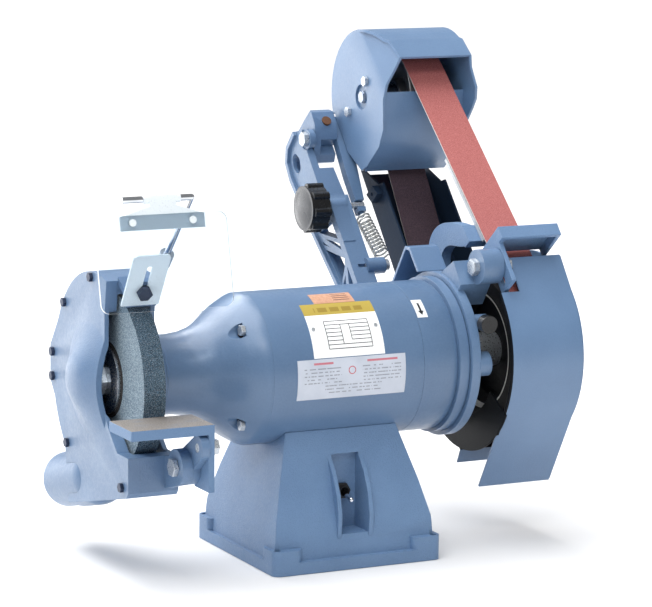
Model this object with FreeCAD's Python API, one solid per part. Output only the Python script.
import FreeCAD, Part
import math
import os

# Bench grinder with a swing-arm abrasive belt head.  Millimetres, +Z up.
# Origin: centre of the pedestal's underside.  +X runs along the motor shaft from the
# grinding wheel (left) to the belt head (right).  +Y points to the back, -Y to the operator.

# ---- driving dimensions --------------------------------------------------------------
SHAFT_Z = 216.5          # height of the motor shaft
BARREL_R = 86.4          # motor barrel
BASE_X, BASE_Y = 209.0, 213.0
BASE_FLANGE = 14.0       # edge of the base plate
BASE_CORNER = 28.0       # raised corner bosses
BOLT_X, BOLT_Y = 195.0, 197.0
BOLT_HOLE_R = 4.0
WHEEL_R = 101.6          # 8 in grinding wheel
WHEEL_W = 25.4
WHEEL_X = -258.3         # its left face
CONTACT_R = 101.6        # 8 in contact wheel
IDLER_R = 53.0
AXLE_R = 7.5             # idler axle
BELT_MID_X = 234.0
BELT_W = 50.8            # 2 in belt
BELT_T = 1.2
BELT_GAP = 0.05          # running gap drawn between belt and wheels
CENTRES = 362.0          # contact wheel to idler
LEAN = 40.7              # the belt head leans back this far from upright, degrees
GAP = 0.05               # running clearance of pivots
SEAT = 0.02              # clearance of what is clamped on the shaft
SHEET = 2.5              # guard sheet steel
FAR = 400.0              # beyond the machine, for cutting shapes

# shaft line stations, left to right
GUARD_X0 = -275.0
GUARD_SPLIT = -261.0
GUARD_X1 = -216.0
BELL_L_X0 = -216.0
FRAME_X0, FRAME_X1 = -97.0, 90.0
BELL_R_X1 = 134.0
RING1_X1 = 146.0
ARM_RING_X0, ARM_RING_X1 = 147.0, 158.0
ARM_RING_R = 95.0
SPIGOT_R = 60.0
SHAFT_R = 12.5
SHAFT_X0, SHAFT_X1 = -282.0, 272.0

# belt guards
GUARD_IN_X = 187.0
GUARD_OUT_X = 280.5
GUARD_R = 111.0

# belt head, in head coordinates: (a) distance up the arm from the shaft, (o) offset behind it
ARM_X0 = 121.0           # outer face of the lattice arm's web
PIVOT_A, PIVOT_O = 357.0, 79.0
PIN_X, PIN_A = 148.0, 371.0
KNOB_A, KNOB_O = 257.0, 79.0
KNOB_BOSS_X = 142.0
SPRING_HIGH = (163.0, 240.0, 80.0)     # ends of the spring as (x, a, o)
SPRING_LOW = (167.0, 180.0, 72.0)
TABLE_PIVOT_A, TABLE_PIVOT_O = 44.0, -114.0

V = FreeCAD.Vector
X_AXIS, Y_AXIS, Z_AXIS = V(1, 0, 0), V(0, 1, 0), V(0, 0, 1)


# ---- helpers -------------------------------------------------------------------------
def box(x0, x1, y0, y1, z0, z1):
    return Part.makeBox(x1 - x0, y1 - y0, z1 - z0, V(x0, y0, z0))


def rod(r, start, end):
    start, end = V(*start), V(*end)
    return Part.makeCylinder(r, (end - start).Length, start, end - start)


def disc_x(r, x0, x1, y=0.0, z=SHAFT_Z):
    return Part.makeCylinder(r, x1 - x0, V(x0, y, z), X_AXIS)


def ring_x(r_out, r_in, x0, x1, y=0.0, z=SHAFT_Z):
    return disc_x(r_out, x0, x1, y, z).cut(disc_x(r_in, x0 - 1, x1 + 1, y, z))


def face_of(points):
    closed = [V(*p) for p in points]
    return Part.Face(Part.makePolygon(closed + closed[:1]))


def plate_x(yz_points, x0, x1):
    return face_of([(x0, y, z) for y, z in yz_points]).extrude(V(x1 - x0, 0, 0))


def fuse(*shapes):
    return shapes[0].multiFuse(list(shapes[1:])).removeSplitter()


def cut(shape, *tools):
    for tool in tools:
        shape = shape.cut(tool)
    return shape


def group(shapes):
    return Part.makeCompound(shapes)


def turned_x(profile):
    """Solid of revolution about the shaft from (x, r) points, first and last on r = 0 or closed."""
    face = face_of([(x, 0, SHAFT_Z + r) for x, r in profile])
    return face.revolve(V(0, 0, SHAFT_Z), X_AXIS, 360)


def polar(r, degrees, x=0.0):
    """A point at radius r from the shaft; 0 degrees is the back, 90 is up."""
    t = math.radians(degrees)
    return (x, r * math.cos(t), SHAFT_Z + r * math.sin(t))


def hexagon(across, start, end):
    """Hexagonal prism between two points."""
    start, end = V(*start), V(*end)
    line = end - start
    side = line.cross(Z_AXIS) if abs(line.dot(Z_AXIS)) < 0.9 * line.Length else line.cross(X_AXIS)
    side.normalize()
    spin = FreeCAD.Rotation(line, 60)
    corner = side * (across / math.sqrt(3))
    points = []
    for _ in range(6):
        points.append(start + corner)
        corner = spin.multVec(corner)
    return Part.Face(Part.makePolygon(points + points[:1])).extrude(line)


def bolt(r, start, end, head=None, across=None):
    """Hex bolt whose head sits outside `start`, shank running to `end`."""
    head = head or 1.3 * r
    across = across or 3.4 * r
    s, e = V(*start), V(*end)
    out = (s - e).normalize() * head
    return fuse(rod(r, start, end), hexagon(across, start, tuple(s + out)))


def lean(shape):
    """Swing a head-frame shape from upright to the angle the head rests at."""
    shape.rotate(V(0, 0, SHAFT_Z), X_AXIS, -LEAN)
    return shape


def hp(x, a, o):
    """Head coordinates to the upright head frame."""
    return (x, o, SHAFT_Z + a)


def head_box(x0, x1, a0, a1, o0, o1):
    return box(x0, x1, o0, o1, SHAFT_Z + a0, SHAFT_Z + a1)


def head_plate(ao_points, x0, x1):
    return plate_x([(o, SHAFT_Z + a) for a, o in ao_points], x0, x1)


def head_disc(r, x0, x1, a, o):
    return disc_x(r, x0, x1, o, SHAFT_Z + a)


def strip(points, t):
    """Outline of a strip of thickness t to the left of a polyline."""
    inner = []
    for i, (u, v) in enumerate(points):
        normals = []
        for p, q in ((i - 1, i), (i, i + 1)):
            if p >= 0 and q < len(points):
                du, dv = points[q][0] - points[p][0], points[q][1] - points[p][1]
                n = math.hypot(du, dv)
                normals.append((-dv / n, du / n))
        nu = sum(n[0] for n in normals)
        nv = sum(n[1] for n in normals)
        scale = 2.0 / (nu * nu + nv * nv) if len(normals) == 2 else 1.0
        inner.append((u + nu * scale * t, v + nv * scale * t))
    return points + inner[::-1]


def arc_points(r, start, end, steps, centre=(0.0, 0.0)):
    """Points on an arc in (y, z) or (o, a) terms, degrees from the first axis."""
    out = []
    for i in range(steps + 1):
        t = math.radians(start + (end - start) * i / steps)
        out.append((centre[0] + r * math.cos(t), centre[1] + r * math.sin(t)))
    return out


PARTS = {}


def add(name, shape):
    PARTS[name] = shape


# ---- pedestal ------------------------------------------------------------------------
PEDESTAL_SECTIONS = [(BASE_FLANGE - 1, 100.0, 99.0), (50.0, 97.0, 93.0), (90.0, 87.0, 80.0),
                     (151.0, 69.0, 57.0)]
POCKET_X, POCKET_Z0, POCKET_Z1, POCKET_BACK = 17.0, 38.0, 124.0, -60.0
SWITCH_Z = 80.0
SADDLE_Z = 151.0


def loft_rect(sections, inset=0.0):
    wires = []
    for z, hx, hy in sections:
        hx, hy = hx - inset, hy - inset
        corners = [V(-hx, -hy, z), V(hx, -hy, z), V(hx, hy, z), V(-hx, hy, z)]
        wires.append(Part.makePolygon(corners + corners[:1]))
    return Part.makeLoft(wires, True, True)


def pedestal():
    hx, hy = BASE_X / 2, BASE_Y / 2
    slab = box(-hx, hx, -hy, hy, 0, BASE_FLANGE)
    slab = slab.makeFillet(9, [e for e in slab.Edges if abs(e.tangentAt(0).z) > 0.9])
    corners = []
    for sx in (-1, 1):
        for sy in (-1, 1):
            boss = Part.makeBox(36, 36, BASE_CORNER, V(-18, -18, 0))
            boss = boss.makeFillet(9, [e for e in boss.Edges if abs(e.tangentAt(0).z) > 0.9])
            boss.translate(V(sx * (hx - 18), sy * (hy - 18), 0))
            corners.append(boss)
    body = fuse(slab, loft_rect(PEDESTAL_SECTIONS), *corners)
    wall = 6.0
    body = cut(body, loft_rect([(z, x, y) for z, x, y in PEDESTAL_SECTIONS[:-1]] + [(124, 73, 66)], wall))
    body = cut(body, box(-90, 90, -91, 91, -1, 40))
    liner = box(-POCKET_X - 5, POCKET_X + 5, -92, POCKET_BACK + 5, POCKET_Z0 - 5, POCKET_Z1 + 4)
    body = fuse(body, liner.common(loft_rect(PEDESTAL_SECTIONS)))
    fins = []
    for sx in (-1, 1):
        x0 = sx * (POCKET_X + 2.5) - 2.5
        outline = [(-60, POCKET_Z1 + 4), (-63, POCKET_Z1 + 3), (-81, 106), (-93, 82), (-98, 58), (-96, 34),
                   (-86, 34)]
        fins.append(plate_x(outline, x0, x0 + 5))
    body = fuse(body, *fins)
    body = cut(body, box(-POCKET_X, POCKET_X, -120, POCKET_BACK, POCKET_Z0, POCKET_Z1))
    body = cut(body, disc_x(BARREL_R + GAP, -97, 120))
    body = cut(body, rod(6.2, (0, -70, SWITCH_Z), (0, -40, SWITCH_Z)))
    body = cut(body, rod(10.1, (30, 70, 42), (30, 110, 42)))
    for sx in (-1, 1):
        for sy in (-1, 1):
            body = cut(body, rod(BOLT_HOLE_R, (sx * BOLT_X / 2, sy * BOLT_Y / 2, -1),
                                 (sx * BOLT_X / 2, sy * BOLT_Y / 2, 40)))
    body = cut(body, box(-92, 92, -93, 93, -1, 3))
    return body


def pedestal_fittings():
    plate = box(-91.9, 91.9, -92.9, 92.9, 1.4, 2.9)
    vents = [box(-40 + 16 * i, -34 + 16 * i, -30, 30, 0, 5) for i in range(6)]
    can = rod(19, (-60, 20, 24), (30, 20, 24))
    strap = fuse(rod(21, (-25, 20, 24), (-10, 20, 24)), box(-25, -10, -4, 44, 2.5, 5))
    add("base_cover_plate", fuse(cut(plate, *vents), cut(strap, can)))
    add("start_capacitor", fuse(can, rod(15, (30, 20, 24), (34, 20, 24))))
    inside = POCKET_BACK + 5
    body = box(-9, 9, inside, inside + 26, SWITCH_Z - 17, SWITCH_Z + 17)
    bushing = rod(6.0, (0, inside + 1, SWITCH_Z), (0, POCKET_BACK - 9, SWITCH_Z))
    throw = Part.makeCone(3.1, 5.4, 14, V(0, POCKET_BACK + 4, SWITCH_Z), V(0, -1, 0))
    nut = hexagon(17, (0, POCKET_BACK, SWITCH_Z), (0, POCKET_BACK - 4, SWITCH_Z))
    add("switch_body", cut(fuse(body, bushing, nut), throw))
    tip = (0, POCKET_BACK - 25, SWITCH_Z - 6)
    root = (0, POCKET_BACK - 1, SWITCH_Z)
    lever = fuse(Part.makeCone(2.0, 2.8, (V(*tip) - V(*root)).Length, V(*root), V(*tip) - V(*root)),
                 Part.makeSphere(3.2, V(*tip)), Part.makeSphere(2.4, V(*root)),
                 rod(1.2, (-3.2, *root[1:]), (3.2, *root[1:])))
    add("switch_lever", lever)
    gland = fuse(rod(10, (30, 80, 42), (30, 102, 42)), rod(13, (30, 97.5, 42), (30, 102, 42)))
    add("cord_inlet_bushing", cut(gland, rod(5, (30, 70, 42), (30, 110, 42))))


# ---- motor ---------------------------------------------------------------------------
BELL_PROFILE = [(-97, 86.4), (-103, 86.0), (-108, 84.0), (-117, 79.0), (-124, 75.0), (-132, 69.0),
                (-143, 60.0), (-150, 55.0), (-158, 51.0), (-171, 47.0), (-187, 45.0), (-206, 45.0),
                (-209, 50.0), (-216, 50.0)]
BEARING_R, BEARING_W = 26.0, 15.0
BEARING_L, BEARING_R_X = -205.0, 108.0
BOLT_ANGLES = (45, 135, 225, 315)
RETAINER_ANGLES = (30, 150, 270)
RETAINER_R = 52.0        # circle of the three screws of the swivel retainer
THROUGH_R = 75.5         # circle of the four bolts that clamp the end bells


def left_bell():
    shell = turned_x([(-216, 0)] + BELL_PROFILE[::-1] + [(-97, 0)])
    hollow = [(-97 + 1, 0), (-97 + 1, 79.0), (-112, 74.0), (-130, 62.0), (-143, 51.0), (-160, 42.0),
              (-178, 38.0), (-178, 0)]
    shell = cut(shell, turned_x(hollow), disc_x(BEARING_R, BEARING_L, -170), disc_x(16, -220, -200))
    for angle in BOLT_ANGLES:
        shell = cut(shell, rod(9, polar(THROUGH_R, angle, -150), polar(THROUGH_R, angle, -119)),
                    rod(2.5, polar(THROUGH_R, angle, -140), polar(THROUGH_R, angle, -90)))
    return shell


def right_bell():
    shell = turned_x([(FRAME_X1, 0), (FRAME_X1, BARREL_R), (131, BARREL_R), (BELL_R_X1, 84.5),
                      (BELL_R_X1, 90.0), (RING1_X1, 90.0), (RING1_X1, SPIGOT_R),
                      (ARM_RING_X1 + 0.5, SPIGOT_R), (ARM_RING_X1 + 0.5, 0)])
    shell = cut(shell, turned_x([(FRAME_X1 - 1, 0), (FRAME_X1 - 1, 79), (100, 76), (104, 60), (104, 0)]))
    shell = cut(shell, disc_x(BEARING_R, 100, BEARING_R_X + BEARING_W), disc_x(16, 110, 170))
    bolts = [rod(2.5, polar(THROUGH_R, a, 90), polar(THROUGH_R, a, 112)) for a in BOLT_ANGLES]
    retainer = [rod(2.5, polar(RETAINER_R, a, 140), polar(RETAINER_R, a, 170)) for a in RETAINER_ANGLES]
    return cut(shell, disc_x(45, BEARING_R_X + BEARING_W + 7, 170), *bolts, *retainer)


def motor():
    add("motor_frame", ring_x(BARREL_R, 80, FRAME_X0, FRAME_X1))
    add("end_bell_left", left_bell())
    add("end_bell_right", right_bell())
    stator = ring_x(80, 47.5, -55, 45)
    slots = [rod(4.5, polar(53, a, -60), polar(53, a, 50)) for a in range(0, 360, 30)]
    passages = [rod(3.0, polar(THROUGH_R, a, -60), polar(THROUGH_R, a, 50)) for a in BOLT_ANGLES]
    add("stator_core", cut(stator, *slots, *passages))
    coils = [turned_x([(x, 54), (x, 71), (x + side * 22, 67), (x + side * 22, 56)])
             for x, side in ((-55, -1), (45, 1))]
    add("stator_windings", group(coils))
    screws = [bolt(2.5, polar(THROUGH_R, a, -119), polar(THROUGH_R, a, 112), 5, 11) for a in BOLT_ANGLES]
    screws += [bolt(2.5, polar(RETAINER_R, a, ARM_RING_X1 + 4.5), polar(RETAINER_R, a, ARM_RING_X1 - 10), 3)
               for a in RETAINER_ANGLES]
    for x in (-42, 35.5):
        rivet_in, rivet_out = polar(BARREL_R - 3, 143.4, x), polar(BARREL_R + 1.4, 143.4, x)
        screws.append(cut(rod(2.2, rivet_in, rivet_out), disc_x(BARREL_R + 0.36, -100, 90)))
    add("motor_screws", group(screws))
    outer = [ring_x(BEARING_R - 0.02, 21, x, x + BEARING_W) for x in (BEARING_L, BEARING_R_X)]
    add("bearing_outer_races", group(outer))
    inner = [ring_x(17, SHAFT_R, x, x + BEARING_W) for x in (BEARING_L, BEARING_R_X)]
    balls = []
    for x in (BEARING_L, BEARING_R_X):
        for i in range(9):
            balls.append(Part.makeSphere(1.95, V(*polar(19, 40 * i, x + BEARING_W / 2))))
    add("bearing_inner_sets", group(inner + balls))
    shaft = turned_x([(SHAFT_X0, 0), (SHAFT_X0, 9.5), (-259, 9.5), (-259, SHAFT_R), (-60, SHAFT_R), (-60, 16),
                      (50, 16), (50, SHAFT_R), (262, SHAFT_R), (262, 9.5), (SHAFT_X1, 9.5), (SHAFT_X1, 0)])
    add("motor_shaft", shaft)
    add("rotor_core", ring_x(47, 16, -55, 45))
    fan_hub = ring_x(30, SHAFT_R, 70, 86)
    blades = []
    for i in range(8):
        blade = box(72, 86, -1.2, 1.2, 28, 66)
        blade.translate(V(0, 0, SHAFT_Z))
        blade.rotate(V(0, 0, SHAFT_Z), X_AXIS, 45 * i)
        blades.append(blade)
    add("cooling_fan", fuse(fan_hub, *blades))
    retainer = ring_x(69, 30, ARM_RING_X1 + 0.5, ARM_RING_X1 + 4.5)
    holes = [rod(2.5, polar(RETAINER_R, a, 150), polar(RETAINER_R, a, 170)) for a in RETAINER_ANGLES]
    add("swivel_retainer", cut(retainer, *holes))


def barrel_label(x0, x1, deg0, deg1, t=0.35):
    """Thin label bent round the front of the barrel; degrees above the horizontal."""
    shell = ring_x(BARREL_R + t, BARREL_R + 0.01, x0, x1)
    wedge = [(0, SHAFT_Z)]
    for deg in (deg0, deg1):
        t0 = math.radians(180 - deg)
        wedge.append((FAR * math.cos(t0), SHAFT_Z + FAR * math.sin(t0)))
    return shell.common(plate_x(wedge, x0 - 1, x1 + 1))


def labels():
    plate = barrel_label(-47, 41, 14.2, 60)
    add("nameplate", plate)
    add("barrel_labels", group([barrel_label(-68, 66, -16.6, 13.6), barrel_label(-28, 23, 60.3, 73),
                                barrel_label(91, 104, 40, 57)]))


# ---- grinding wheel side -------------------------------------------------------------
def wheel_set():
    x0, x1 = WHEEL_X, WHEEL_X + WHEEL_W
    blotter = 0.8
    wheel = fuse(ring_x(WHEEL_R, SHAFT_R + SEAT, x0, x1),
                 ring_x(42, SHAFT_R + SEAT, x0 - blotter, x1 + blotter))
    add("grinding_wheel", wheel)
    hub = turned_x([(x1 + 0.8, SHAFT_R + SEAT), (x1 + 0.8, 38), (x1 + 5, 38), (x1 + 9, 24), (x1 + 14, 20),
                    (x1 + 14, SHAFT_R + SEAT)])
    face = turned_x([(x0 - 0.8, SHAFT_R + SEAT), (x0 - 0.8, 38), (x0 - 4, 38), (x0 - 8, 28), (x0 - 8, 9.55),
                     (x0 - 1.2, 9.55), (x0 - 1.2, SHAFT_R + SEAT)])
    add("wheel_flanges", group([hub, face]))


GUARD_OUTER = 120.0
GUARD_OPEN_Y = -30.0
TUBE_R = 31.75           # 2.5 in dust hose fits over the outlet
TUBE_TILT = 14.0
TUBE_X = -246.0
TUBE_Y1, TUBE_Z1 = 150.0, 72.0
TUBE_LENGTH, TUBE_FREE = 95.0, 50.0
TUBE_WALL, TUBE_ROOT = 3.0, 1.75        # wall, and how much thicker the root is than the free end
GUARD_WALL = 5.0
DOME_Y = 12.0            # the cover's dome sits this far behind the shaft


def guard_outline(inset):
    """Side view of the wheel guard as (y, z), from the front top over the back to the outlet."""
    r = GUARD_OUTER - inset
    top = arc_points(r, 107, 26, 14, (0, SHAFT_Z))
    ear = [(134 - inset, 234), (134 - inset, 194)] if inset < 1 else []
    back = arc_points(r + 6, -18, -45, 4, (0, SHAFT_Z))
    low = [(78 - inset, 62 + 1.1 * inset), (-92 + inset, 102 + 1.2 * inset), (-97 + inset, 108 + inset),
           (-97 + inset, 147 - inset), (-66, 147 - inset), (-40, 170), (GUARD_OPEN_Y, 184),
           (GUARD_OPEN_Y, 296)]
    return top + ear + back + low


def outlet_solid(r_free, r_root):
    """The dust outlet as a solid: a free end for the hose, a root and a rounded closed front."""
    t = math.radians(TUBE_TILT)
    along = V(0, math.cos(t), -math.sin(t))
    end = V(TUBE_X, TUBE_Y1, TUBE_Z1)
    start = end - along * TUBE_LENGTH
    free = Part.makeCylinder(r_free, TUBE_FREE + 1, end - along * (TUBE_FREE + 1), along)
    root = Part.makeCylinder(r_root, TUBE_LENGTH - TUBE_FREE, start, along)
    return fuse(free, root, Part.makeSphere(r_root, start))


def guard_cover():
    shell = plate_x(guard_outline(0), GUARD_X0, GUARD_SPLIT)
    shell = cut(shell, plate_x(guard_outline(5), GUARD_X0 + 5, GUARD_SPLIT + 1))
    dome_profile = [(GUARD_X0 + 1, 0), (GUARD_X0 + 1, 66), (-278, 58), (-286, 40), (-295, 24), (-298, 14),
                    (-299, 0)]
    dome = turned_x(dome_profile)
    dome.translate(V(0, DOME_Y, 0))
    opening = box(-310, GUARD_SPLIT + 1, -200, GUARD_OPEN_Y, SHAFT_Z - 200, SHAFT_Z + 200)
    shell = fuse(shell, cut(dome, opening))
    hollow = turned_x([(GUARD_X0 + 6, 0), (GUARD_X0 + 6, 62), (-273.5, 53), (-281, 36), (-290, 20),
                       (-293, 0)])
    hollow.translate(V(0, DOME_Y, 0))
    return cut(shell, hollow)


GUARD_SCREWS = ((8, 330), (124, 228), (124, 200), (-80, 112), (80, 131), (88, 290))
GUARD_BOLT_ANGLES = (60, 180, 300)      # the three screws that hold the guard to the end bell


def wheel_guard():
    tube = outlet_solid(TUBE_R, TUBE_R + TUBE_ROOT)
    bore = outlet_solid(TUBE_R - TUBE_WALL, TUBE_R - TUBE_WALL)
    bore = fuse(bore, bore.translated(V(0, 5 * math.cos(math.radians(TUBE_TILT)),
                                        -5 * math.sin(math.radians(TUBE_TILT)))))
    room = plate_x(guard_outline(GUARD_WALL), GUARD_X0 + GUARD_WALL, GUARD_X1 - GUARD_WALL)
    cover = guard_cover()
    inner = plate_x(guard_outline(0), GUARD_SPLIT, GUARD_X1)
    inner = cut(inner, plate_x(guard_outline(GUARD_WALL), GUARD_SPLIT - 1, GUARD_X1 - GUARD_WALL))
    front = box(GUARD_SPLIT - 1, GUARD_X1 - GUARD_WALL, -120, GUARD_OPEN_Y + 0.01, 150, 296)
    inner = cut(inner, front, disc_x(WHEEL_R + 3, GUARD_SPLIT - 1, GUARD_X1 - GUARD_WALL))
    inner = cut(fuse(inner, cut(tube, room), arrestor_backing(), rest_bracket()), bore)
    inner = cut(inner, disc_x(32, GUARD_X1 - 8, GUARD_X1 + 1))
    cover = cut(cover, outlet_solid(TUBE_R + TUBE_ROOT + GAP, TUBE_R + TUBE_ROOT + GAP))
    screws = []
    for y, z in GUARD_SCREWS:
        boss = disc_x(6, GUARD_X0 + 1, GUARD_SPLIT, y, z)
        seat = disc_x(6, GUARD_SPLIT, GUARD_SPLIT + 16, y, z)
        hole = disc_x(2.5, GUARD_X0 - 10, GUARD_SPLIT + 14, y, z)
        inside_cover = boss.common(plate_x(guard_outline(0), GUARD_X0, GUARD_SPLIT))
        inside_inner = seat.common(plate_x(guard_outline(0), GUARD_SPLIT, GUARD_X1))
        cover = cut(fuse(cover, inside_cover), hole)
        inner = cut(fuse(inner, inside_inner), hole)
        screws.append(bolt(2.5, (GUARD_X0, y, z), (GUARD_SPLIT + 13, y, z), 4, 9.5))
    mount_holes = [rod(3.0, polar(38, a, GUARD_X1 - 6), polar(38, a, GUARD_X1 + 8))
                   for a in GUARD_BOLT_ANGLES]
    inner = cut(inner, *mount_holes)
    PARTS["end_bell_left"] = cut(PARTS["end_bell_left"], *mount_holes)
    screws.append(bolt(3.0, polar_off(ARRESTOR_BOLT_R, ARRESTOR_DEG, TUBE_X, 2.7),
                       polar_off(ARRESTOR_BOLT_R, ARRESTOR_DEG, TUBE_X, -6), 7, 15))
    add("wheel_guard_cover", cover)
    add("wheel_guard_inner", inner)
    screws += [bolt(3.0, polar(38, a, GUARD_X1 - 5), polar(38, a, GUARD_X1 + 7)) for a in GUARD_BOLT_ANGLES]
    add("guard_screws", group(screws))


# ---- tool rest, spark arrestor and eye shield -----------------------------------------
REST_TOP, REST_T = 192.0, 11.0
REST_Y0, REST_Y1 = -166.0, -104.0
REST_X0, REST_X1 = -300.0, -204.0
REST_BOLT = (-156.0, 166.0)
REST_ARM_PIVOT = (-126.0, 140.0)


def tool_rest():
    y_b, z_b = REST_BOLT
    top = box(REST_X0, REST_X1, REST_Y0, REST_Y1, REST_TOP - REST_T, REST_TOP)
    top = cut(top, box(REST_X0 + 5, REST_X1 - 8, REST_Y0 + 5, REST_Y1 - 3, REST_TOP - REST_T - 1,
                       REST_TOP - 5))
    leg = box(REST_X1 - 7, REST_X1, REST_Y0, -128, 118, REST_TOP - REST_T + 1)
    table = cut(fuse(top, leg), disc_x(5.05, REST_X1 - 20, REST_X1 + 5, y_b, z_b))
    add("tool_rest", table)
    arm = fuse(disc_x(14, REST_X1 - 16, REST_X1 - 7.05, y_b, z_b),
               plate_x([(y_b - 10, z_b + 10), (y_b + 10, z_b + 10),
                        (REST_ARM_PIVOT[0] + 16, REST_ARM_PIVOT[1] + 14),
                        (REST_ARM_PIVOT[0] + 4, REST_ARM_PIVOT[1] - 19), (y_b - 12, z_b - 8)],
                       REST_X1 - 16, REST_X1 - 7.05),
               disc_x(20, REST_X1 - 16, REST_X1 - 7.05, *REST_ARM_PIVOT))
    arm = cut(arm, disc_x(5, -230, -200, y_b, z_b), disc_x(6, -240, -200, *REST_ARM_PIVOT))
    add("tool_rest_arm", arm)
    y_p, z_p = REST_ARM_PIVOT
    pivot = fuse(disc_x(6, -236, REST_X1 - 7.05, y_p, z_p), hexagon(18, (-232.2, y_p, z_p), (-238, y_p, z_p)))
    add("tool_rest_bolts", group([bolt(5, (REST_X1 + 0.05, y_b, z_b), (REST_X1 - 16, y_b, z_b), 7, 16),
                                  pivot]))


def rest_bracket():
    """Lug of the guard casting that the tool rest's arm pivots on."""
    y_p, z_p = REST_ARM_PIVOT
    bracket = fuse(disc_x(20, -232, REST_X1 - 16.1, y_p, z_p),
                   plate_x([(y_p - 12, z_p + 16), (-94, 146), (-94, 110), (y_p - 10, z_p - 18)], -232, -222))
    return cut(bracket, disc_x(6 + GAP, -240, -200, y_p, z_p))


ARRESTOR_DEG = 122.0     # where the spark arrestor stands, from the back over the top
ARRESTOR_BOLT_R = 128.0


def radial_box(x0, x1, r0, r1, t0, t1, deg):
    """Box whose length runs outward from the shaft at an angle, thickness round it."""
    shape = box(x0, x1, r0, r1, t0, t1)
    shape.translate(V(0, 0, SHAFT_Z))
    shape.rotate(V(0, 0, SHAFT_Z), X_AXIS, deg)
    return shape


def arrestor_backing():
    """Lip of the guard casting that the sliding spark arrestor is screwed to."""
    deg = ARRESTOR_DEG
    backing = fuse(radial_box(GUARD_SPLIT, -225, 104, 140, -6, 0, deg),
                   radial_box(GUARD_SPLIT, -230, 112, 119, -34, -5, deg))
    hole = rod(3.0, polar_off(ARRESTOR_BOLT_R, deg, TUBE_X, -30), polar_off(ARRESTOR_BOLT_R, deg, TUBE_X, 30))
    return cut(backing, hole)


def spark_arrestor():
    deg = ARRESTOR_DEG
    plate = radial_box(-268, -224, 108, 178, 0.1, 2.6, deg)
    slot = fuse(radial_box(-249.1, -242.9, 124, 160, -5, 8, deg),
                rod(3.1, polar_off(124, deg, TUBE_X, -5), polar_off(124, deg, TUBE_X, 8)),
                rod(3.1, polar_off(160, deg, TUBE_X, -5), polar_off(160, deg, TUBE_X, 8)))
    corners = [radial_box(x - 5, x + 5, 173, 183, -1, 5, deg) for x in (-268, -224)]
    rounds = [rod(5, polar_off(173, deg, x, -1), polar_off(173, deg, x, 5)) for x in (-263, -229)]
    plate = fuse(cut(plate, slot, *corners),
                 *[r.common(radial_box(-268, -224, 108, 178, 0.1, 2.6, deg)) for r in rounds])
    add("spark_arrestor", plate)


def polar_off(r, deg, x, t):
    """Point at radius r and angle deg, moved t round in the direction of growing angle."""
    _, y, z = polar(r, deg)
    a = math.radians(deg)
    return (x, y - t * math.sin(a), z + t * math.cos(a))


ROD_R = 3.5
ROD_TOP_Y, ROD_TOP_Z = -120.0, 431.0
ROD_X = -212.0
ROD_FOOT_Y, ROD_FOOT_Z = -30.0, 334.0
CLAMP_BACK = 28.0        # clamp centre up the leg from its foot
LENS_TILT = -13.0


def tilt_lens(shape):
    shape.rotate(V(0, ROD_TOP_Y, ROD_TOP_Z), X_AXIS, LENS_TILT)
    return shape


def eye_shield():
    top, foot = (ROD_X, ROD_TOP_Y, ROD_TOP_Z), (ROD_X, ROD_FOOT_Y, ROD_FOOT_Z)
    bar = fuse(rod(ROD_R, (-292, ROD_TOP_Y, ROD_TOP_Z), top), Part.makeSphere(ROD_R, V(*top)),
               rod(ROD_R, top, foot))
    add("eye_shield_rod", bar)
    line = (V(*foot) - V(*top)).normalize()
    mid = V(*foot) - line * CLAMP_BACK
    add("eye_shield_clamp", clamp_block(mid, line))
    y0 = ROD_TOP_Y
    lens = box(-328, -176, y0 - 8, y0 - 5, ROD_TOP_Z - 119, ROD_TOP_Z - 17)
    lens = lens.makeFillet(10, [e for e in lens.Edges if abs(e.tangentAt(0).y) > 0.9])
    plate = plate_y([(-298, -33), (-201, -33), (-201, -18), (-232, -8), (-232, 3), (-262, 3), (-262, -8),
                     (-298, -18)],
                    y0 - 4.9, y0 - 3.3)
    plate.translate(V(0, 0, ROD_TOP_Z))
    sleeve = cut(rod(ROD_R + 1.6, (-268, y0, ROD_TOP_Z), (-226, y0, ROD_TOP_Z)),
                 rod(ROD_R + GAP, (-270, y0, ROD_TOP_Z), (-220, y0, ROD_TOP_Z)))
    holder = fuse(cut(plate, rod(ROD_R + 0.5, (-300, y0, ROD_TOP_Z), (-190, y0, ROD_TOP_Z))), sleeve)
    rivets, holes = [], []
    for x in (-285, -216):
        p = ROD_TOP_Z - 25
        rivets.append(fuse(rod(2, (x, y0 - 3.3, p), (x, y0 - 8, p)), rod(4, (x, y0 - 8, p), (x, y0 - 9.5, p)),
                           rod(4, (x, y0 - 3.3, p), (x, y0 - 2.3, p))))
        holes.append(rod(2, (x, y0 - 20, p), (x, y0 + 5, p)))
    add("eye_shield_lens", tilt_lens(cut(lens, *holes)))
    add("eye_shield_holder", tilt_lens(fuse(holder, *rivets)))


def plate_y(xz_points, y0, y1):
    return face_of([(x, y0, z) for x, z in xz_points]).extrude(V(0, y1 - y0, 0))


def clamp_block(mid, line):
    start, end = mid - line * 9, mid + line * 9
    barrel = Part.makeCylinder(8, 18, start, line)
    foot = rod(5.5, (ROD_X, mid.y, mid.z), (ROD_X - 6.8, mid.y + 14, mid.z - 34))
    bore = Part.makeCylinder(ROD_R + GAP, 60, mid - line * 30, line)
    block = cut(fuse(barrel, foot), bore)
    return cut(block, plate_x(guard_outline(0), GUARD_SPLIT - 1, GUARD_X1 + GAP))


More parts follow.
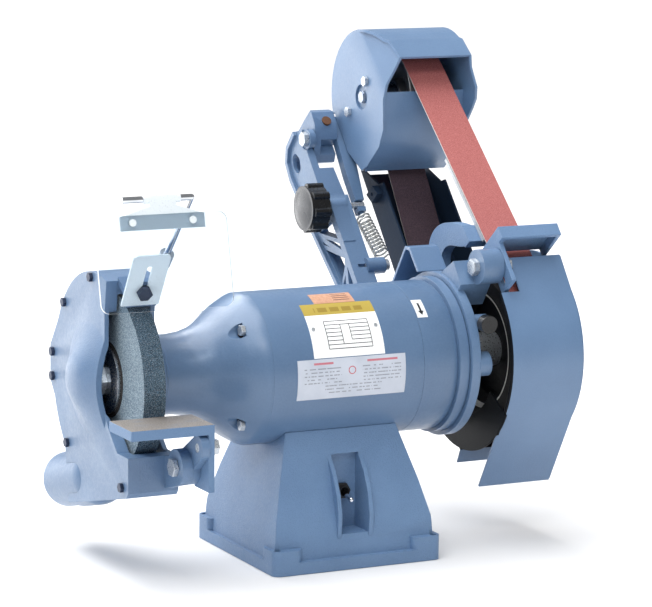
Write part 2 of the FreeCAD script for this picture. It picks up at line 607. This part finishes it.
# ---- belt head: arm ------------------------------------------------------------------
def arm_ring():
    ring = ring_x(ARM_RING_R, SPIGOT_R + GAP, ARM_RING_X0, ARM_RING_X1)
    lug = head_plate([(40, 84), (62, 66), (92, 60), (96, 92), (52, 98)], ARM_RING_X0, ARM_RING_X1)
    posts = [disc_x(8.5, ARM_RING_X1 - 1, GUARD_IN_X, *polar(POST_R, d)[1:]) for d in POST_DEGREES]
    front_boss = fuse(disc_x(14, ARM_RING_X1 - 1, 172, -82, SHAFT_Z),
                      disc_x(8, ARM_RING_X1 - 1, 175, -72, LOCK_Z))
    upper = lean(fuse(lug, head_disc(11, ARM_RING_X1 - 1, 192, 84, 6), head_boss_arm()))
    holes = [disc_x(3, 146, 200, *polar(POST_R, d)[1:]) for d in POST_DEGREES]
    table_hole = lean(head_disc(5 + GAP, 140, 210, TABLE_PIVOT_A, TABLE_PIVOT_O))
    arm_holes = [lean(head_disc(4, 140, 170, a, o)) for a, o in ARM_BOLTS]
    body = cut(fuse(ring, upper, front_boss, *posts), *holes, *arm_holes)
    bracket_hole = lean(head_disc(4, 150, 200, 84, 6))
    swing_hole = rod(3.5, (LOCK_X, -100, LOCK_Z), (LOCK_X, -40, LOCK_Z))
    body = cut(body, bracket_hole, swing_hole, table_hole, disc_x(SPIGOT_R + GAP, 100, 170))
    return cut(body, disc_x(71, ARM_RING_X1, 200))


POST_DEGREES = (-70, -25, 15)
POST_R = 86.0
LOCK_X, LOCK_Z = 166.0, 264.0
ARM_BOLTS = ((62, 80), (84, 78))


def head_boss_arm():
    """Casting from the ring out to the boss that carries the work table."""
    a, o = TABLE_PIVOT_A, TABLE_PIVOT_O
    web = head_plate([(72, -42), (a + 17, o + 12), (a - 14, o + 14), (20, -62)], ARM_RING_X0 + 4, 190)
    return fuse(web, head_disc(20, 170, 196, a, o))


def lattice_arm():
    low_flange = head_box(ARM_X0, 148, 52, 262, 70, 76)
    top_flange = plate_o([(ARM_X0, 250), (154, 250), (147, 350), (ARM_X0, 350)], 84, 90)
    outline = [(52, 72), (250, 72), (262, 84), (352, 84), (366, 70), (380, 96), (376, 124), (362, 139),
               (338, 142), (261, 133), (150, 113), (60, 96)]
    web = head_plate(outline, ARM_X0, ARM_X0 + 5)
    windows = [[(238, 82), (246, 122), (196, 80)], [(184, 80), (232, 118), (146, 104)],
               [(132, 80), (172, 80), (142, 96)], [(120, 80), (132, 98), (84, 90), (84, 80)]]
    almond = [head_disc(r, 110, 130, a, 118) for r, a in ((8, 352), (8, 342), (10, 347))]
    web = cut(web, *[head_plate(w, 110, 130) for w in windows], *almond)
    rim_line = [(60, 96), (150, 113), (261, 133), (338, 142), (362, 139), (376, 124), (380, 96)]
    rim = head_plate(strip(rim_line, -6), ARM_X0 - 4, ARM_X0 + 17)
    ribs = [head_plate(strip(line, 5), ARM_X0, ARM_X0 + 16)
            for line in ([(246, 127), (198, 72)], [(184, 73), (234, 124)], [(156, 110), (178, 72)],
                         [(146, 108), (122, 73)], [(262, 86), (262, 130)])]
    bar = head_plate([(246, 70), (268, 70), (268, 90), (246, 90)], ARM_X0, 148)
    foot = head_plate([(50, 70), (96, 70), (96, 98), (52, 92)], ARM_X0, ARM_RING_X0)
    boss = head_disc(11, ARM_X0, KNOB_BOSS_X, KNOB_A, KNOB_O)
    ear = head_disc(12, ARM_X0 + 2, BLOCK_X0 - 0.5, PIVOT_A, PIVOT_O)
    spring_boss = head_disc(10, 140, SPRING_LOW[0] - 3, SPRING_LOW[1] - 14, SPRING_LOW[2])
    body = fuse(low_flange, top_flange, web, rim, bar, foot, boss, ear, spring_boss, *ribs)
    body = cut(body, head_disc(43, BLOCK_X0 - 0.5, 160, PIVOT_A + 3, PIVOT_O + 2),
               head_disc(13, ARM_X0 - 5, ARM_X0 + 2, PIVOT_A, PIVOT_O),
               head_disc(5.05, 100, 140, PIVOT_A, PIVOT_O), head_disc(STUD_R + GAP, 100, 160, KNOB_A, KNOB_O),
               head_disc(3, 130, 180, SPRING_LOW[1] - 14, SPRING_LOW[2]),
               *[head_disc(4, 100, 150, a, o) for a, o in ARM_BOLTS])
    body = cut(body, head_box(ARM_RING_X0, 160, 0, 104, 0, 200))
    barrel = disc_x(ARM_RING_R + 2, 100, ARM_RING_X0)
    return cut(lean(body), barrel)


def plate_o(xa_points, o0, o1):
    """Plate facing the operator: (x, a) outline, thickness from o0 to o1."""
    return plate_y([(x, SHAFT_Z + a) for x, a in xa_points], o0, o1)


def arm_fasteners():
    bolts = [lean(bolt(4, hp(ARM_X0, a, o), hp(158, a, o), 5.5, 13)) for a, o in ARM_BOLTS]
    bolts += [bolt(3, (GUARD_IN_X + SHEET, *polar(POST_R, d)[1:]), (ARM_RING_X1, *polar(POST_R, d)[1:]), 4,
                   10)
              for d in POST_DEGREES]
    bolts.append(lean(bolt(4, hp(206, 84, 6), hp(159, 84, 6), 2.0, 13)))
    bolts += [lean(bolt(3, hp(GUARD_OUT_X + SHEET, a, o), hp(CHANNEL_X1 - SHEET - 4, a, o), 4, 10))
              for a, o in COVER_SCREWS]
    a, o = SPRING_LOW[1] - 14, SPRING_LOW[2]
    spring_screw = fuse(head_disc(3, 140, SPRING_LOW[0] + 3, a, o),
                        head_disc(7, SPRING_LOW[0] - 3, SPRING_LOW[0] + 3, a, o))
    bolts.append(lean(spring_screw))
    add("arm_bolts", group(bolts))


# ---- belt head: tension block, tracking carrier, idler --------------------------------
BLOCK_X0, BLOCK_X1 = 131.0, 161.0
BLOCK_SIDE = [(342, 84), (354, 70), (368, 62), (384, 61), (392, 68), (395, 80), (395, 94), (388, 106),
              (338, 106), (334, 98)]
SLOT_X0, SLOT_O0, SLOT_O1, SLOT_A1 = 139.5, 73.5, 88.5, 388.0
TONGUE_A0, TONGUE_A1 = 352.0, 385.0
TAIL_X0, TAIL_X1 = 158.0, 168.0
STUD_R, STUD_PLAY = 4.0, 0.8            # tracking screw, and its play in the tail's open notch
PIN_R = 6.0
CARRIER_X0, CARRIER_X1 = 172.0, 180.0
HOOD_BOLTS = ((369, -23), (367, 38))


def tension_block():
    block = head_plate(BLOCK_SIDE, BLOCK_X0, BLOCK_X1)
    shoulder = plate_o([(BLOCK_X0 - 5, 380), (BLOCK_X0 + 9, 399), (BLOCK_X0 - 5, 399)], 50, 120)
    far_shoulder = plate_o([(BLOCK_X1 + 5, 384), (BLOCK_X1 - 7, 399), (BLOCK_X1 + 5, 399)], 50, 120)
    block = cut(block, shoulder, far_shoulder)
    block = cut(block, head_box(SLOT_X0, BLOCK_X1 + 1, 320, SLOT_A1, SLOT_O0, SLOT_O1))
    pin_hole = rod(PIN_R, hp(PIN_X, PIN_A, 55), hp(PIN_X, PIN_A, 111))
    block = cut(block, pin_hole, head_disc(5.0, 120, SLOT_X0 + 1, PIVOT_A, PIVOT_O))
    add("tension_block", lean(block))
    pin = rod(PIN_R, hp(PIN_X, PIN_A, 60.5), hp(PIN_X, PIN_A, 107))
    add("tracking_pin", lean(pin))
    add("arm_pivot_bolt", lean(bolt(5.0, hp(ARM_X0 + 2, PIVOT_A, PIVOT_O), hp(SLOT_X0, PIVOT_A, PIVOT_O),
                                    6.5, 16)))


def tracking_carrier():
    low, high = SLOT_O0 + 0.5, SLOT_O1 - 0.5
    notch = STUD_R + STUD_PLAY          # open towards the belt, so the tail can swing off the screw
    tongue = head_box(SLOT_X0 + 2, CARRIER_X1, TONGUE_A0, TONGUE_A1, low, high)
    neck = head_box(CARRIER_X0, CARRIER_X1, 342, 388, -40, high)
    tail = plate_o([(TAIL_X0, 246), (TAIL_X1, 246), (CARRIER_X1 - 2, 330), (CARRIER_X1, 356),
                    (TAIL_X0 + 3, 356), (TAIL_X0, 300)], low, high - 2)
    body = fuse(tongue, neck, tail)
    body = cut(body, rod(PIN_R + GAP, hp(PIN_X, PIN_A, 50), hp(PIN_X, PIN_A, 120)),
               head_disc(AXLE_R, 160, 190, CENTRES, 0),
               head_disc(notch, 150, 185, KNOB_A, KNOB_O),
               head_box(150, 185, KNOB_A - notch, KNOB_A + notch, low - 1, KNOB_O),
               *[head_disc(3, 160, 190, a, o) for a, o in HOOD_BOLTS])
    peg_x, peg_a, peg_o = SPRING_HIGH
    body = fuse(body, head_box(peg_x - 3, peg_x + 3, peg_a + 1.5, 247, peg_o - 3, peg_o + 3))
    add("tracking_carrier", lean(body))


def belt_idler():
    x0, x1 = BELT_MID_X - BELT_W / 2, BELT_MID_X + BELT_W / 2
    rim = cut(head_disc(IDLER_R, x0, x1, CENTRES, 0), head_disc(44, x0 - 1, x0 + 16, CENTRES, 0),
              head_disc(44, x1 - 16, x1 + 1, CENTRES, 0))
    hub = head_disc(22, x0 + 2, x1 - 2, CENTRES, 0)
    wheel = cut(fuse(rim, hub), head_disc(17.5, x0, x1, CENTRES, 0))
    add("idler_wheel", lean(wheel))
    races = []
    for x in (x0 + 3, x1 - 15):
        races.append(lean(cut(head_disc(17.48, x, x + 12, CENTRES, 0),
                              head_disc(AXLE_R + GAP, x - 1, x + 13, CENTRES, 0))))
    add("idler_bearings", group(races))
    axle = fuse(head_disc(AXLE_R, CARRIER_X0 - 2, x1 + 6, CENTRES, 0),
                hexagon(13, hp(CARRIER_X0, CENTRES, 0), hp(CARRIER_X0 - 4, CENTRES, 0)),
                head_disc(11, CARRIER_X1, x0 + 3, CENTRES, 0))
    nut = cut(hexagon(22, hp(x1 - 3, CENTRES, 0), hp(x1 + 7, CENTRES, 0)),
              head_disc(AXLE_R, x1 - 8, x1 + 12, CENTRES, 0))
    add("idler_axle", group([lean(axle), lean(nut)]))


HOOD_X0, HOOD_X1 = 169.0, 282.0
HOOD_R = 82.0
VISOR_X0 = 185.0


def hood_side(front_low):
    """Outline of a hood cheek as (a, o), round the idler."""
    arc = [(CENTRES + a, o) for o, a in arc_points(HOOD_R, 0, 158, 22)]
    return [(CENTRES - 70, 56), (CENTRES - 22, 76)] + arc + front_low


LEFT_FRONT = [(CENTRES + 24, -82), (CENTRES - 5, -88), (CENTRES - 14, -72), (CENTRES - 22, -56),
              (CENTRES - 64, -23), (CENTRES - 74, 0), (CENTRES - 74, 40)]
RIGHT_FRONT = [(CENTRES + 24, -82), (CENTRES - 5, -88), (CENTRES - 17, -80), (CENTRES - 44, -76),
               (CENTRES - 54, -66), (CENTRES - 58, -52), (CENTRES - 62, -30), (CENTRES - 74, 0),
               (CENTRES - 74, 40)]


def idler_hood():
    big = 200
    left = head_plate(hood_side(LEFT_FRONT), HOOD_X0, HOOD_X0 + 3)
    left = cut(left, head_box(HOOD_X0 - 1, HOOD_X0 + 4, CENTRES - big, CENTRES + big, -big, -45))
    slant = face_of([hp(HOOD_X0, CENTRES - big, -45), hp(VISOR_X0, CENTRES - big, -88),
                     hp(VISOR_X0 + 3.2, CENTRES - big, -88), hp(HOOD_X0 + 3.2, CENTRES - big, -45)])
    slant = slant.extrude(V(0, 0, 2 * big)).common(head_plate(hood_side(LEFT_FRONT), HOOD_X0 - 1,
                                                              VISOR_X0 + 6))
    right = head_plate(hood_side(RIGHT_FRONT), HOOD_X1 - 3, HOOD_X1)
    outer = [(CENTRES - 30, HOOD_R)] + [(CENTRES + a, o) for o, a in arc_points(HOOD_R, 0, 158, 22)]
    outer += [(CENTRES + 24, -82), (CENTRES - 5, -88)]
    wall = head_plate(strip(outer, -3), HOOD_X0, HOOD_X1)
    corner = face_of([hp(HOOD_X0 - 5, CENTRES - big, -45), hp(VISOR_X0, CENTRES - big, -88.1),
                      hp(VISOR_X0, CENTRES - big, -100), hp(HOOD_X0 - 5, CENTRES - big, -100)])
    wall = cut(wall, corner.extrude(V(0, 0, 2 * big)))
    baffle_line = [(CENTRES - 28, -49), (CENTRES - 64, -20), (CENTRES - 74, 0), (CENTRES - 74, 52)]
    baffle = head_plate(strip(baffle_line, -SHEET), HOOD_X0 + 2, HOOD_X1 - 2)
    hood = fuse(left, slant, wall, right, baffle)
    hood = cut(hood, head_disc(15.5, HOOD_X0 - 1, HOOD_X0 + 4, CENTRES, 0),
               *[head_disc(3, HOOD_X0 - 1, HOOD_X0 + 4, a, o) for a, o in HOOD_BOLTS],
               head_box(HOOD_X0 - 2, CARRIER_X1 + 1, 326, 391, 72.5, 95))
    add("idler_hood", lean(hood))
    bolts = [lean(bolt(3, hp(HOOD_X0, a, o), hp(CARRIER_X1, a, o), 4.5, 11)) for a, o in HOOD_BOLTS]
    add("hood_bolts", group(bolts))


# ---- belt head: knob, spring, belt ----------------------------------------------------
KNOB_X0, KNOB_X1 = 88.0, 118.0
KNOB_R, KNOB_DOME, KNOB_LOBES = 27.0, 4.0, 8


def tracking_knob():
    """Lobed knob on the screw that draws the carrier's tail in and out."""
    knob = head_disc(KNOB_R, KNOB_X0, KNOB_X1 - 6, KNOB_A, KNOB_O)
    lobes = []
    for i in range(KNOB_LOBES):
        turn = 2 * math.pi * i / KNOB_LOBES
        a, o = KNOB_A + (KNOB_R - 2) * math.sin(turn), KNOB_O + (KNOB_R - 2) * math.cos(turn)
        lobes.append(head_disc(5.5, KNOB_X0 + 3, KNOB_X1 - 6, a, o))
    hub = head_disc(12, KNOB_X1 - 7, KNOB_X1, KNOB_A, KNOB_O)
    knob = cut(fuse(knob, hub, *lobes), head_disc(STUD_R, KNOB_X0 + 8, KNOB_X1 + 1, KNOB_A, KNOB_O))
    face = head_disc(KNOB_R - 3, KNOB_X0 - KNOB_DOME, KNOB_X0 + 2, KNOB_A, KNOB_O)
    ball_r = ((KNOB_R - 3) ** 2 + KNOB_DOME ** 2) / (2 * KNOB_DOME)
    dome = face.common(Part.makeSphere(ball_r, V(*hp(KNOB_X0 - KNOB_DOME + ball_r, KNOB_A, KNOB_O))))
    stud = head_disc(STUD_R, KNOB_X0 + 8, TAIL_X1 + 1, KNOB_A, KNOB_O)
    collar = head_disc(8, KNOB_X1, ARM_X0 - 1, KNOB_A, KNOB_O)
    add("tracking_knob", lean(fuse(knob, dome, stud, collar)))


SPRING_R, WIRE_R, TURNS = 8.2, 1.3, 12


def tension_spring():
    low, high = V(*hp(*SPRING_LOW)), V(*hp(*SPRING_HIGH))
    length = (high - low).Length
    helix = Part.makeHelix(length / TURNS, length, SPRING_R)
    section = Part.Wire([Part.makeCircle(WIRE_R, V(SPRING_R, 0, 0), Y_AXIS)])
    coil = Part.Wire(helix).makePipeShell([section], True, True)
    coil.Placement = FreeCAD.Placement(low, FreeCAD.Rotation(Z_AXIS, high - low))
    add("tension_spring", lean(coil))


def belt_loop(offset):
    """Belt centre loop as a face in the head frame's plane, grown outwards by offset."""
    r1, r2 = CONTACT_R + offset, IDLER_R + offset
    tilt = math.asin((r1 - r2) / CENTRES)
    cos_t, sin_t = math.cos(tilt), math.sin(tilt)

    def pt(a, o):
        return V(0, o, SHAFT_Z + a)

    back1, back2 = pt(r1 * sin_t, r1 * cos_t), pt(CENTRES + r2 * sin_t, r2 * cos_t)
    front1, front2 = pt(r1 * sin_t, -r1 * cos_t), pt(CENTRES + r2 * sin_t, -r2 * cos_t)
    edges = [Part.makeLine(back1, back2), Part.Arc(back2, pt(CENTRES + r2, 0), front2).toShape(),
             Part.makeLine(front2, front1), Part.Arc(front1, pt(-r1, 0), back1).toShape()]
    return Part.Face(Part.Wire(edges))


def abrasive_belt():
    outer = belt_loop(BELT_GAP + BELT_T).extrude(V(BELT_W, 0, 0))
    inner = belt_loop(BELT_GAP).extrude(V(BELT_W + 2, 0, 0))
    inner.translate(V(-1, 0, 0))
    belt = outer.cut(inner)
    belt.translate(V(BELT_MID_X - BELT_W / 2, 0, 0))
    add("abrasive_belt", lean(belt))


def contact_wheel():
    x0, x1 = BELT_MID_X - BELT_W / 2, BELT_MID_X + BELT_W / 2
    add("contact_wheel_tyre", ring_x(CONTACT_R, 86, x0, x1))
    hub = turned_x([(x0 + 18, SHAFT_R + SEAT), (x0 + 18, 24), (x0 + 20, 30), (x0 + 20, 60), (x0, 66),
                    (x0, 86), (x1, 86), (x1, 70), (x1 - 18, 60), (x1 - 20, 30), (x1, 24),
                    (x1, SHAFT_R + SEAT)])
    add("contact_wheel_hub", hub)
    spacer = ring_x(20, SHAFT_R + SEAT, ARM_RING_X1 + 6, x0 + 18)
    nuts = [(x1 + 2.7, x1 + 12), (WHEEL_X - 8, WHEEL_X - 21)]
    nuts = [cut(hexagon(30, (a, 0, SHAFT_Z), (b, 0, SHAFT_Z)), disc_x(9.5, min(a, b) - 1, max(a, b) + 1))
            for a, b in nuts]
    add("shaft_nuts", group(nuts + [spacer]))


# ---- belt head: guards, platen, table -------------------------------------------------
GUARD_FOOT_SLOPE = 60.0


def guard_profile():
    """Front guard's inner line as (y, z): upper straight, arc round the wheel, lower straight."""
    start, end = 143.5, 213.0
    arc = arc_points(GUARD_R, start, end, 14, (0, SHAFT_Z))
    t0 = math.radians(start)
    top = (arc[0][0] + 60 * math.sin(t0), arc[0][1] - 60 * math.cos(t0))
    t1 = math.radians(GUARD_FOOT_SLOPE)
    foot = (arc[-1][0] + 106 * math.cos(t1), arc[-1][1] - 106 * math.sin(t1))
    return [top] + arc + [foot]


def belt_guards():
    profile = guard_profile()
    sheet = plate_x(strip(profile, -SHEET), GUARD_IN_X, GUARD_OUT_X)
    notch = lean(head_box(GUARD_IN_X - 1, 214, 8, 70, -140, -90))
    sheet = cut(sheet, notch)
    disc = disc_x(GUARD_R + 1, GUARD_OUT_X, GUARD_OUT_X + SHEET)
    skirt = plate_x(profile + [(20, 58), (60, 110), (80, 300)], GUARD_OUT_X, GUARD_OUT_X + SHEET)
    cheek = fuse(disc, skirt)
    tab = lean(head_plate([(-60, 100), (60, 108), (150, 96), (150, 50), (60, 20), (-40, 20)],
                          GUARD_OUT_X, GUARD_OUT_X + SHEET))
    cheek = cut(fuse(cheek, tab), disc_x(26, GUARD_OUT_X - 1, GUARD_OUT_X + 5))
    cover_screws = [lean(head_disc(3, 270, 290, a, o)) for a, o in COVER_SCREWS]
    add("belt_side_cover", cut(cheek, *cover_screws))
    plate = ring_x(GUARD_R + 6, 74, GUARD_IN_X, GUARD_IN_X + SHEET)
    sector = plate_x([(0, SHAFT_Z)] + [(FAR * math.cos(math.radians(d)),
                                        SHAFT_Z + FAR * math.sin(math.radians(d)))
                                       for d in (-150, -110, -70, -20, 30)], 180, 200)
    plate = cut(plate.common(sector), *[disc_x(3, 180, 200, *polar(POST_R, d)[1:]) for d in POST_DEGREES])
    line = [(60, 108), (34, 112), (10, 106), (3, 98), (11, 81)]
    deflector = plate_x(strip(line, 2), GUARD_IN_X, GUARD_OUT_X)
    add("front_guard", fuse(sheet, plate, deflector))
    channel()


CHANNEL_X0, CHANNEL_X1 = 190.0, 278.0
CHANNEL_TOP = 278.0
COVER_SCREWS = ((70, 70), (120, 66))


def channel():
    x0, x1 = CHANNEL_X0, CHANNEL_X1
    top = [(CHANNEL_TOP - 6, 54), (CHANNEL_TOP - 2, 64), (CHANNEL_TOP + 38, 88), (CHANNEL_TOP + 38, 93)]
    left = head_plate([(30, 112), (30, 84), (84, 50)] + top + [(110, 96), (80, 112)], x0, x0 + SHEET)
    right = head_plate([(-20, 116), (20, 84), (84, 50)] + top + [(110, 96), (80, 112)], x1 - SHEET, x1)
    web = head_plate(strip([(-20, 116), (80, 112), (110, 96), (CHANNEL_TOP + 30, 93)], -SHEET), x0, x1)
    tab = head_plate([(CHANNEL_TOP - 18, 60), (CHANNEL_TOP - 18, 80), (CHANNEL_TOP - 2, 86),
                      (CHANNEL_TOP - 2, 66)],
                     x0 - 8, x0)
    pads = [head_disc(7, x1 - SHEET, GUARD_OUT_X, a, o) for a, o in COVER_SCREWS]
    body = fuse(left, right, web, cut(tab, head_disc(2.5, x0 - 10, x0 + 1, CHANNEL_TOP - 10, 73)), *pads)
    holes = [head_disc(3, x1 - 10, x1 + 10, a, o) for a, o in COVER_SCREWS]
    body = lean(cut(body, *holes))
    body = cut(body, disc_x(CONTACT_R + 6, GUARD_IN_X + 14, GUARD_OUT_X))
    add("belt_channel", body)


def strand_offset(a, side_gap):
    """Offset of the belt's inner face on the front strand at height a, moved in by side_gap."""
    tilt = math.asin((CONTACT_R - IDLER_R) / CENTRES)
    return -(IDLER_R / math.cos(tilt) + (CENTRES - a) * math.tan(tilt)) + side_gap


def curved_plate(outer, inner, x0, x1):
    """Plate between two smooth (a, o) curves that are joined by straight ends."""
    edges = []
    for points in (outer, inner):
        curve = Part.BSplineCurve()
        curve.interpolate([V(*hp(x0, a, o)) for a, o in points])
        edges.append(curve.toShape())
    edges.insert(1, Part.makeLine(V(*hp(x0, *outer[-1])), V(*hp(x0, *inner[0]))))
    edges.append(Part.makeLine(V(*hp(x0, *inner[-1])), V(*hp(x0, *outer[0]))))
    return Part.Face(Part.Wire(edges)).extrude(V(x1 - x0, 0, 0))


def platen():
    x0, x1 = BELT_MID_X - BELT_W / 2 + 0.5, BELT_MID_X + BELT_W / 2 - 0.5
    face = [(96, strand_offset(96, 2.0)), (222, strand_offset(222, 2.0))]
    outline = face + [(222, strand_offset(222, 7.0)), (96, strand_offset(96, 7.0))]
    add("platen", lean(head_plate(outline, x0, x1)))
    a0 = strand_offset(100, 7.05)
    outer = [(122, a0 + 3), (140, -58), (153, -34), (156, -14), (150, 4), (132, 18), (104, 22), (74, 16)]
    inner = [(74, -4), (94, -3), (112, -5), (122, -14), (124, -30), (114, -48), (98, a0)]
    hook = curved_plate(outer, inner, 193, 206)
    pad = head_plate([(98, a0), (122, a0 + 3.2), (122, a0 + 16), (98, a0 + 13)], 193, 250)
    pad = pad.common(head_plate([(98, strand_offset(98, 7.05)), (122, strand_offset(122, 7.05)), (122, 0),
                                 (98, 0)], 190, 260))
    body = fuse(hook.common(head_plate([(60, strand_offset(60, 7.05)), (200, strand_offset(200, 7.05)),
                                        (200, 60), (60, 60)],
                                       190, 210)), pad)
    ring_foot = head_disc(11, 192.05, 200, 84, 6)
    body = fuse(body, ring_foot)
    body = cut(body, head_disc(4, 150, 210, 84, 6))
    add("platen_bracket", lean(body))


TABLE_X0, TABLE_X1 = 196.6, 275.0
TABLE_A0, TABLE_A1 = 62.0, 78.0
TABLE_O0, TABLE_O1 = -144.0, -96.0
LEG_X0, LEG_X1 = 196.6, 202.6


def work_table():
    a, o = TABLE_PIVOT_A, TABLE_PIVOT_O
    top = head_box(TABLE_X0, TABLE_X1, TABLE_A0, TABLE_A1, TABLE_O0, TABLE_O1 - 1.0)
    top = cut(top, head_box(TABLE_X0 + 6, TABLE_X1 - 5, TABLE_A0 - 1, TABLE_A1 - 6, TABLE_O0 + 5,
                            TABLE_O1 + 5))
    slot = fuse(head_disc(5.1, 190, 210, a + 8, o), head_disc(5.1, 190, 210, a - 22, o),
                head_box(190, 210, a - 22, a + 8, o - 5.1, o + 5.1))
    leg = head_box(LEG_X0, LEG_X1, 11.5, TABLE_A1 - 2, -134, -103.5)
    table = cut(fuse(top, leg), slot)
    add("work_table", lean(table))
    screw = fuse(head_disc(5.0, 168, 214, a, o), hexagon(17, hp(170, a, o), hp(163, a, o)),
                 head_disc(9, 168.4, 170, a, o))
    nut = cut(fuse(hexagon(17, hp(204.2, a, o), hp(212, a, o)), head_disc(10, 202.6, 204.2, a, o)),
              head_disc(5.0, 190, 220, a, o))
    add("table_bolt", group([lean(screw), lean(nut)]))


def ring_details():
    """Strap over the ring's split, and the small knob that locks the swing."""
    line = [(16, 301), (44, 331), (52, 331), (86, 282)]
    strap = plate_x(strip(line, 4), 136, 174)
    strap = cut(strap, disc_x(ARM_RING_R + 0.02, 130, 180))
    add("ring_strap", strap)
    x, z = LOCK_X, LOCK_Z
    knob = fuse(rod(10.5, (x, -99, z), (x, -87, z)), rod(6, (x, -87, z), (x, -83, z)))
    add("swing_lock_knob", fuse(knob, rod(3.45, (x, -84, z), (x, -58, z))))


def main():
    os.makedirs("parts", exist_ok=True)
    add("pedestal", pedestal())
    pedestal_fittings()
    motor()
    labels()
    wheel_set()
    wheel_guard()
    tool_rest()
    spark_arrestor()
    eye_shield()
    add("swivel_ring", arm_ring())
    add("lattice_arm", lattice_arm())
    arm_fasteners()
    tension_block()
    tracking_carrier()
    belt_idler()
    idler_hood()
    tracking_knob()
    tension_spring()
    abrasive_belt()
    contact_wheel()
    belt_guards()
    platen()
    work_table()
    ring_details()
    for name, shape in PARTS.items():
        shape.exportStep("parts/" + name + ".step")


main()
